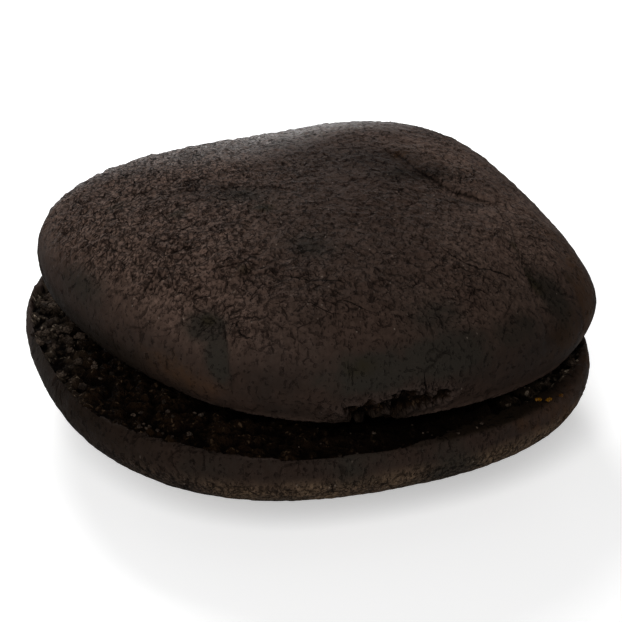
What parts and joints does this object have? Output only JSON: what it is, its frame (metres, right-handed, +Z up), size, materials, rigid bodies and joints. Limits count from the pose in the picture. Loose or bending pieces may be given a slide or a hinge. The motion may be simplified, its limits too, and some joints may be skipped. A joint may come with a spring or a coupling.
{
  "type": "whoopie pie",
  "caption": "Low round chocolate sandwich cake: an uneven domed cake lies askew on an upturned one, with a wedge-shaped gap between their torn faces.",
  "frame": {"origin": "on the surface that the pie rests on, under the middle of its outline", "axes": "+Z up, away from the surface that the pie rests on; the gap between the cakes is widest towards -X and -Y, and the upper cake leans down towards +X"},
  "size_m": [0.0898, 0.0912, 0.0421],
  "materials": {
    "upper_cake": "dark chocolate sponge with a dry, finely cracked skin and a soft sheen",
    "lower_cake": "dark chocolate sponge, smooth dry skin on the dome and rough open crumb on the torn face"
  },
  "bodies": {
    "root": {"cake_bottom": "lower_cake", "cake_top": "upper_cake"}
  },
  "joints": []
}
